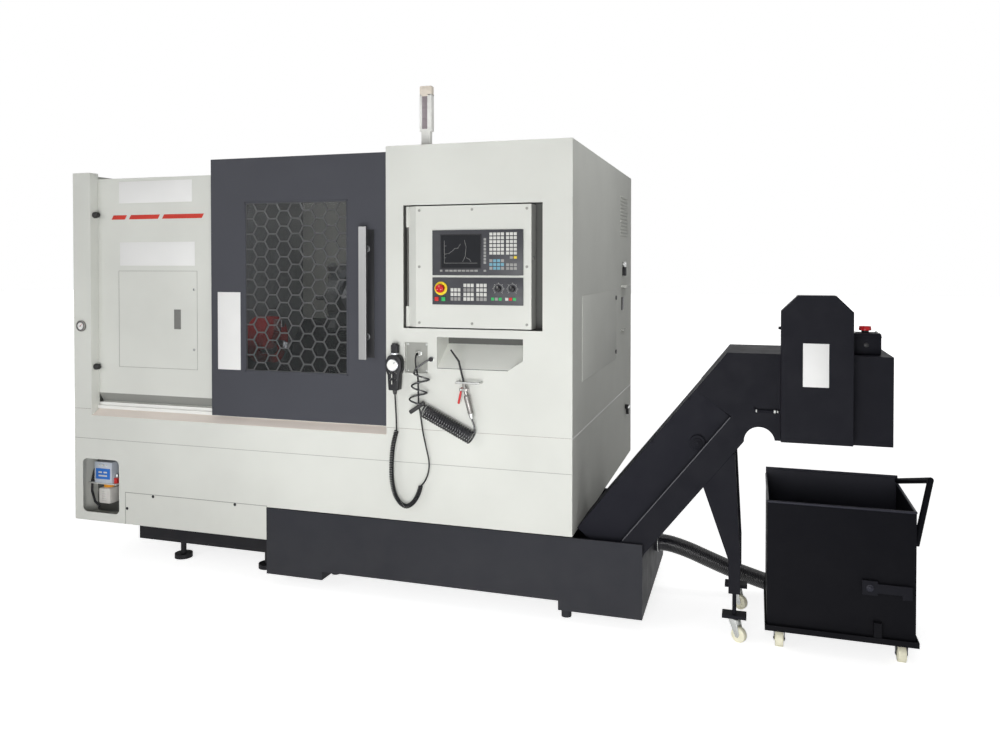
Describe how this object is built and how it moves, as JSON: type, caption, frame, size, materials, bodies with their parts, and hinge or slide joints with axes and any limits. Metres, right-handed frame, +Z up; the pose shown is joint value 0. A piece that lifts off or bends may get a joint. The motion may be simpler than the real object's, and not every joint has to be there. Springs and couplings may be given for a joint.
{
  "type": "cnc_turning_lathe",
  "caption": "Slant-bed CNC turning lathe with sliding door, honeycomb window guard, swinging control panel, chip conveyor and wheeled chip cart",
  "frame": {"origin": "centre of the footprint, on the floor", "axes": "+X along the spindle to the conveyor, +Y to the back, +Z up"},
  "size_m": [4.0592, 1.801, 2.355],
  "materials": {
    "cover_paint": "fine satin paint, light warm grey",
    "dark_paint": "satin charcoal paint",
    "black_paint": "semi-gloss black paint",
    "cast_iron": "machined and painted casting",
    "bright_steel": "ground steel",
    "chrome_steel": "plated steel",
    "black_plastic": "moulded plastic",
    "white_plastic": "moulded plastic",
    "red_plastic": "moulded plastic",
    "lamp_plastic": "clear and coloured lenses",
    "black_rubber": "extruded rubber",
    "safety_glass": "clear laminated pane",
    "cream_wheels": "cast nylon wheels in plated forks",
    "aluminium_bar": "satin anodised"
  },
  "bodies": {
    "machine": {"base_casting": "dark_paint", "levelling_feet": "black_paint", "headstock": "cast_iron", "spindle_bearings": "bright_steel", "spindle_motor": "black_paint", "drive_belt": "black_rubber", "left_end_cover": "cover_paint", "headstock_cover": "cover_paint", "sill_cover": "cover_paint", "lower_cover": "cover_paint", "kick_plate": "cover_paint", "cabinet_front": "cover_paint", "tray_pocket": "cover_paint", "right_side_panel": "cover_paint", "roof": "cover_paint", "rear_cover": "cover_paint", "splash_walls": "cover_paint", "door_rails": "bright_steel", "coolant_tank": "dark_paint", "conveyor_casing": "dark_paint", "conveyor_cover": "dark_paint", "chain_guard": "dark_paint", "junction_box": "dark_paint", "conveyor_legs": "dark_paint", "conveyor_casters": "cream_wheels", "signal_lamp": "lamp_plastic", "pressure_gauge": "chrome_steel", "lube_unit": "white_plastic", "pendant_body": "black_plastic", "air_gun": "chrome_steel", "gun_hook": "chrome_steel", "pendant_cord": "black_rubber", "air_hose": "black_rubber", "drain_hose": "black_rubber"},
    "door": {"door_panel": "dark_paint", "window_glass": "safety_glass", "window_guard": "black_paint", "door_handle": "aluminium_bar"},
    "hatch": {"hatch_door": "cover_paint"},
    "spindle_set": {"spindle": "bright_steel", "chuck_body": "bright_steel"},
    "jaw_a": {"jaw_1": "bright_steel"},
    "jaw_b": {"jaw_2": "bright_steel"},
    "jaw_c": {"jaw_3": "bright_steel"},
    "motor_drive": {"motor_pulley": "bright_steel"},
    "carriage_set": {"carriage": "cast_iron"},
    "cross_set": {"cross_slide": "cast_iron"},
    "turret": {"turret_disc": "bright_steel"},
    "tail_set": {"tailstock": "cast_iron"},
    "quill_set": {"quill": "bright_steel"},
    "panel": {"panel_box": "cover_paint", "operator_unit": "black_plastic"},
    "stop_key": {"estop_button": "red_plastic"},
    "feed_dial": {"feed_knob": "black_plastic"},
    "speed_dial": {"speed_knob": "black_plastic"},
    "jog_wheel": {"pendant_dial": "white_plastic"},
    "trigger": {"gun_trigger": "red_plastic"},
    "cart": {"cart_bin": "black_paint", "cart_casters": "cream_wheels"},
    "cart_latch": {"cart_lever": "black_paint"}
  },
  "joints": [
    {"name": "door_slide", "type": "slide", "parent": "machine", "child": "door", "axis": [1, 0, 0], "range_m": [-0.68, 0]},
    {"name": "hatch_hinge", "type": "hinge", "parent": "machine", "child": "hatch", "pos_m": [-1.78865, -0.7825, 1.254], "axis": [0, 0, -1], "range_deg": [0, 100]},
    {"name": "spindle_turn", "type": "hinge", "parent": "machine", "child": "spindle_set", "pos_m": [-1.39465, -0.2745, 1.12], "axis": [1, 0, 0], "continuous": true},
    {"name": "jaw_1_slide", "type": "slide", "parent": "spindle_set", "child": "jaw_a", "axis": [0, 0, 1], "range_m": [-0.004, 0.004]},
    {"name": "jaw_2_slide", "type": "slide", "parent": "spindle_set", "child": "jaw_b", "axis": [0, -0.866, -0.5], "range_m": [-0.004, 0.004]},
    {"name": "jaw_3_slide", "type": "slide", "parent": "spindle_set", "child": "jaw_c", "axis": [0, 0.866, -0.5], "range_m": [-0.004, 0.004]},
    {"name": "motor_turn", "type": "hinge", "parent": "machine", "child": "motor_drive", "pos_m": [-1.69465, -0.4345, 0.53], "axis": [1, 0, 0], "continuous": true},
    {"name": "carriage_slide", "type": "slide", "parent": "machine", "child": "carriage_set", "axis": [1, 0, 0], "range_m": [-0.15, 0.4]},
    {"name": "cross_slide_move", "type": "slide", "parent": "carriage_set", "child": "cross_set", "axis": [0, 0.7071, 0.7071], "range_m": [-0.1, 0.1]},
    {"name": "turret_index", "type": "hinge", "parent": "cross_set", "child": "turret", "pos_m": [-0.87465, -0.04115, 1.35335], "axis": [1, 0, 0], "continuous": true},
    {"name": "tailstock_slide", "type": "slide", "parent": "machine", "child": "tail_set", "axis": [1, 0, 0], "range_m": [-0.08, 0.06]},
    {"name": "quill_slide", "type": "slide", "parent": "tail_set", "child": "quill_set", "axis": [1, 0, 0], "range_m": [-0.1, 0]},
    {"name": "panel_hinge", "type": "hinge", "parent": "machine", "child": "panel", "pos_m": [-0.16165, -0.8115, 1.523], "axis": [0, 0, -1], "range_deg": [0, 60]},
    {"name": "stop_press", "type": "slide", "parent": "panel", "child": "stop_key", "axis": [0, 1, 0], "range_m": [0, 0.004]},
    {"name": "feed_turn", "type": "hinge", "parent": "panel", "child": "feed_dial", "pos_m": [0.27905, -0.8525, 1.427], "axis": [0, 1, 0], "range_deg": [-135, 135]},
    {"name": "speed_turn", "type": "hinge", "parent": "panel", "child": "speed_dial", "pos_m": [0.34205, -0.8525, 1.427], "axis": [0, 1, 0], "range_deg": [-135, 135]},
    {"name": "jog_turn", "type": "hinge", "parent": "machine", "child": "jog_wheel", "pos_m": [-0.20265, -0.8915, 1.083], "axis": [0, 1, 0], "continuous": true},
    {"name": "trigger_pull", "type": "hinge", "parent": "machine", "child": "trigger", "pos_m": [0.11735, -0.8702, 0.985], "axis": [0, -1, 0], "range_deg": [0, 12], "stiffness_Nm_per_rad": 0.4},
    {"name": "cart_roll", "type": "slide", "parent": "machine", "child": "cart", "axis": [1, 0, 0], "range_m": [0, 0.8]},
    {"name": "cart_lever_turn", "type": "hinge", "parent": "cart", "child": "cart_latch", "pos_m": [1.77435, -0.8245, 0.285], "axis": [0, -1, 0], "range_deg": [0, 70]}
  ],
  "couplings": [
    {"joint": "jaw_2_slide", "follows": "jaw_1_slide", "ratio": 1},
    {"joint": "jaw_3_slide", "follows": "jaw_1_slide", "ratio": 1},
    {"joint": "motor_turn", "follows": "spindle_turn", "ratio": 1.5714}
  ]
}
